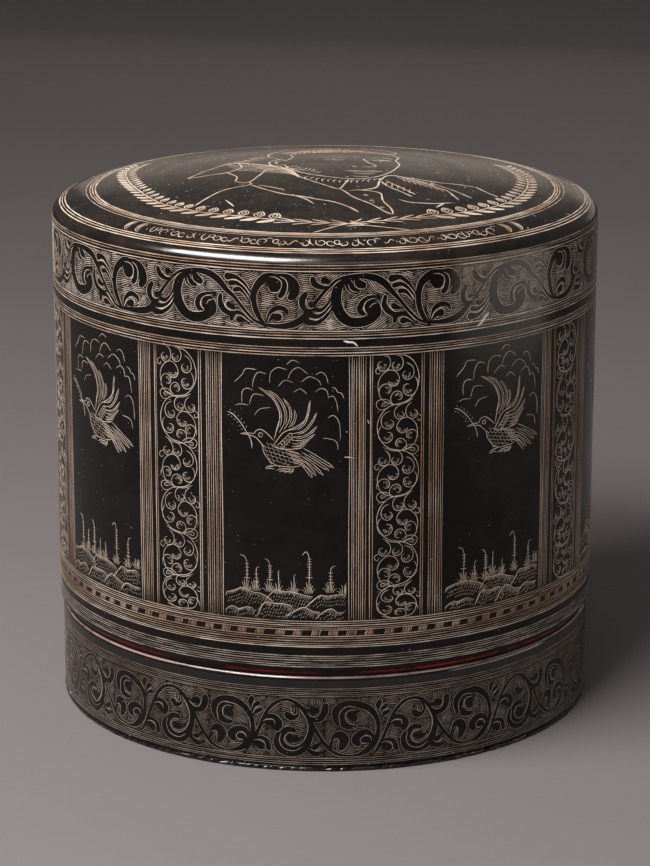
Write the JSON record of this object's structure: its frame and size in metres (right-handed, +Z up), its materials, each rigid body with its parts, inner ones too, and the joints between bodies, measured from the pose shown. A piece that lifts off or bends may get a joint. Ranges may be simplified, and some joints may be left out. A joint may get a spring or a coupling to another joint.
{
  "type": "betel box",
  "caption": "Round lidded lacquer box with a deep lift-off cover, an inner sleeve and stacked lift-out trays for betel leaves and their condiments.",
  "frame": {"origin": "centre of the foot, on the surface that the box stands on", "axes": "+Z up along the axis of the box; the picture on the lid is read from -Y, with +X to the reader's right"},
  "size_m": [0.2, 0.2, 0.1966],
  "materials": {
    "cover_lacquer": "polished black lacquer over bamboo, incised and filled with ochre",
    "base_lacquer": "polished black lacquer over bamboo, incised and filled with ochre",
    "hoop_lacquer": "polished plain black lacquer over a bamboo hoop",
    "red_lacquer": "satin red lacquer over bamboo",
    "tray_lacquer": "satin red lacquer over bamboo"
  },
  "bodies": {
    "base": {"foot_hoop": "hoop_lacquer", "base_floor": "red_lacquer", "base_band": "base_lacquer", "base_bead": "hoop_lacquer", "seat_hoop": "red_lacquer", "base_sleeve": "red_lacquer", "tray_ledge": "red_lacquer", "mouth_hoop": "red_lacquer"},
    "cover": {"cover_rim": "cover_lacquer", "cover_wall": "cover_lacquer", "cover_shoulder": "cover_lacquer", "cover_top": "cover_lacquer"},
    "lower_tray": {"lower_tray_foot": "hoop_lacquer", "lower_tray_floor": "tray_lacquer", "lower_tray_wall": "tray_lacquer", "lower_tray_rim": "hoop_lacquer"},
    "upper_tray": {"upper_tray_foot": "hoop_lacquer", "upper_tray_floor": "tray_lacquer", "upper_tray_wall": "tray_lacquer", "upper_tray_rim": "hoop_lacquer"}
  },
  "joints": [
    {"name": "cover_lift", "type": "slide", "parent": "base", "child": "cover", "axis": [0, 0, 1], "range_m": [0, 0.28]},
    {"name": "upper_tray_lift", "type": "slide", "parent": "base", "child": "upper_tray", "axis": [0, 0, 1], "range_m": [0, 0.126]},
    {"name": "lower_tray_lift", "type": "slide", "parent": "base", "child": "lower_tray", "axis": [0, 0, 1], "range_m": [0, 0.07]}
  ],
  "couplings": [
    {"joint": "upper_tray_lift", "follows": "cover_lift", "ratio": 0.45},
    {"joint": "lower_tray_lift", "follows": "cover_lift", "ratio": 0.25}
  ]
}
